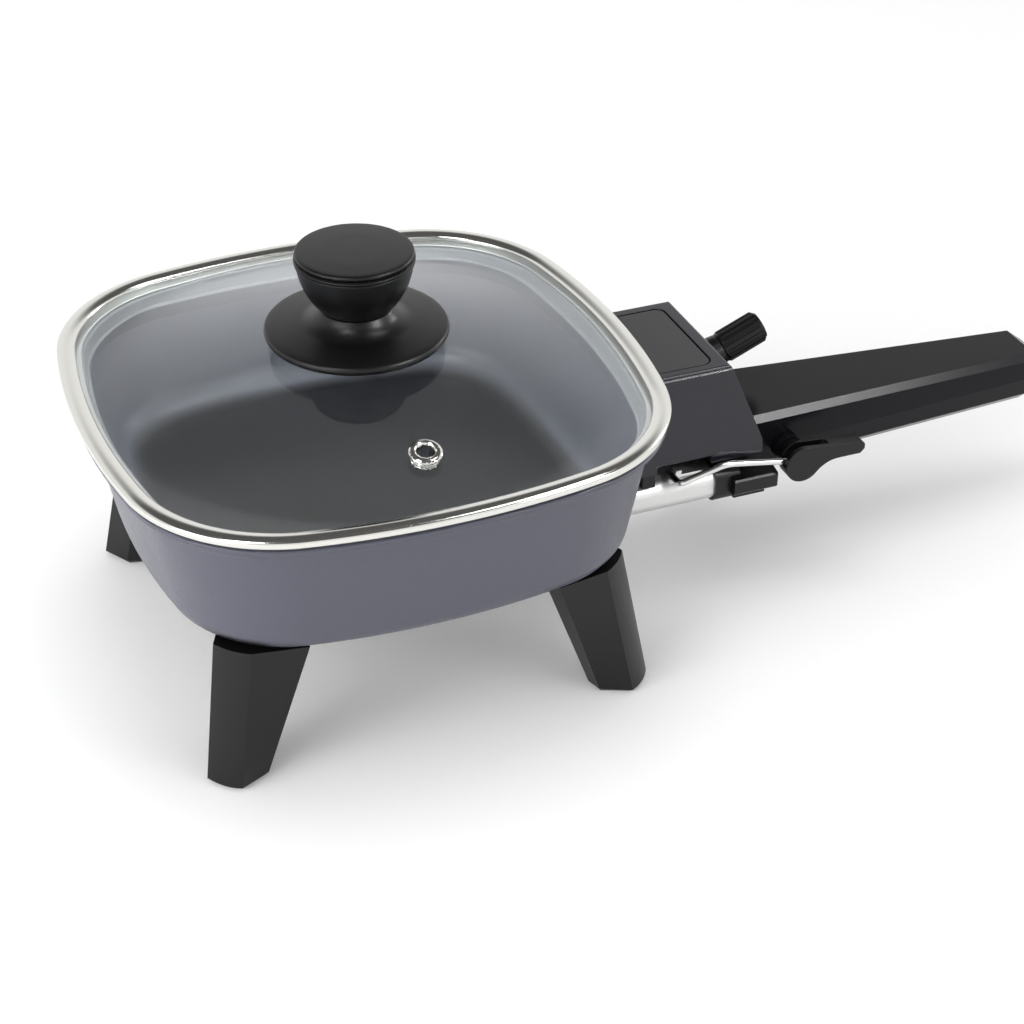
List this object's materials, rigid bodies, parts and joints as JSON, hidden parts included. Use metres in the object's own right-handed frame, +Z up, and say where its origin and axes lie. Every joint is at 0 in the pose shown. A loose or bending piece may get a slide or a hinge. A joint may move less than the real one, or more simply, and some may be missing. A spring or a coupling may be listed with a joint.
{
  "type": "electric skillet",
  "caption": "Small square electric skillet on splayed legs, with a domed glass lid that lifts off, a plug-in thermostat handle, a turning dial and an over-centre wire latch.",
  "frame": {"origin": "on the floor under the middle of the bounding box, which is 80 mm from the pan's centre towards the handle", "axes": "+X from the pan to the handle's end, +Z up, and -Y the side with the latch"},
  "size_m": [0.328, 0.168, 0.128],
  "materials": {
    "coating": "satin",
    "element_steel": "satin",
    "guard_metal": "satin",
    "screw_steel": "satin",
    "rim_steel": "polished",
    "lid_pane": "clear",
    "soft_ring": "matte",
    "black_plastic": "satin",
    "plum_plastic": "satin",
    "panel_grey": "matte",
    "handle_plastic": "satin",
    "contact_brass": "satin",
    "ceramic": "matte",
    "wire_sleeve": "matte",
    "wire_steel": "polished"
  },
  "bodies": {
    "root": {"pan": "coating", "heating_element": "element_steel", "terminal_guard": "guard_metal", "guard_screws": "screw_steel", "latch_hook": "guard_metal", "leg_front_left": "black_plastic", "leg_front_right": "black_plastic", "leg_rear_left": "black_plastic", "leg_rear_right": "black_plastic", "leg_screws": "screw_steel", "plug_shroud": "black_plastic", "socket_contacts": "contact_brass", "thermostat_body": "ceramic", "thermostat_probe": "screw_steel", "housing_base": "black_plastic", "housing_shell": "plum_plastic", "top_panel": "panel_grey", "housing_screws": "screw_steel", "dial_collar": "black_plastic", "handle_upper": "handle_plastic", "handle_lower": "handle_plastic", "handle_screws": "screw_steel", "lead_wires": "wire_sleeve", "cord_inlet": "soft_ring", "lever_pin": "screw_steel"},
    "lid": {"lid_glass": "lid_pane", "lid_rim": "rim_steel", "steam_vent": "rim_steel", "knob_gasket": "soft_ring", "knob_skirt": "black_plastic", "lid_knob": "black_plastic", "knob_cap": "black_plastic", "lid_washer": "screw_steel", "lid_screw": "screw_steel"},
    "dial": {"dial_shaft": "screw_steel", "dial_knob": "black_plastic"},
    "lever": {"latch_lever": "black_plastic"},
    "bail": {"latch_bail": "wire_steel"}
  },
  "joints": [
    {"name": "lid_lift", "type": "slide", "parent": "root", "child": "lid", "axis": [0, 0, 1], "range_m": [0, 0.12]},
    {"name": "dial_turn", "type": "hinge", "parent": "root", "child": "dial", "pos_m": [0.03976, 0.011, 0.0609], "axis": [0.9205, 0, 0.3907], "range_deg": [-270, 0]},
    {"name": "latch_open", "type": "hinge", "parent": "root", "child": "lever", "pos_m": [0.0572, -0.0256, 0.0399], "axis": [0, -1, 0], "range_deg": [0, 120]},
    {"name": "bail_pivot", "type": "hinge", "parent": "lever", "child": "bail", "pos_m": [0.06015, -0.0256, 0.03938], "axis": [0, -1, 0], "range_deg": [-121, 0]}
  ],
  "couplings": [
    {"joint": "bail_pivot", "follows": "latch_open", "ratio": -1}
  ]
}
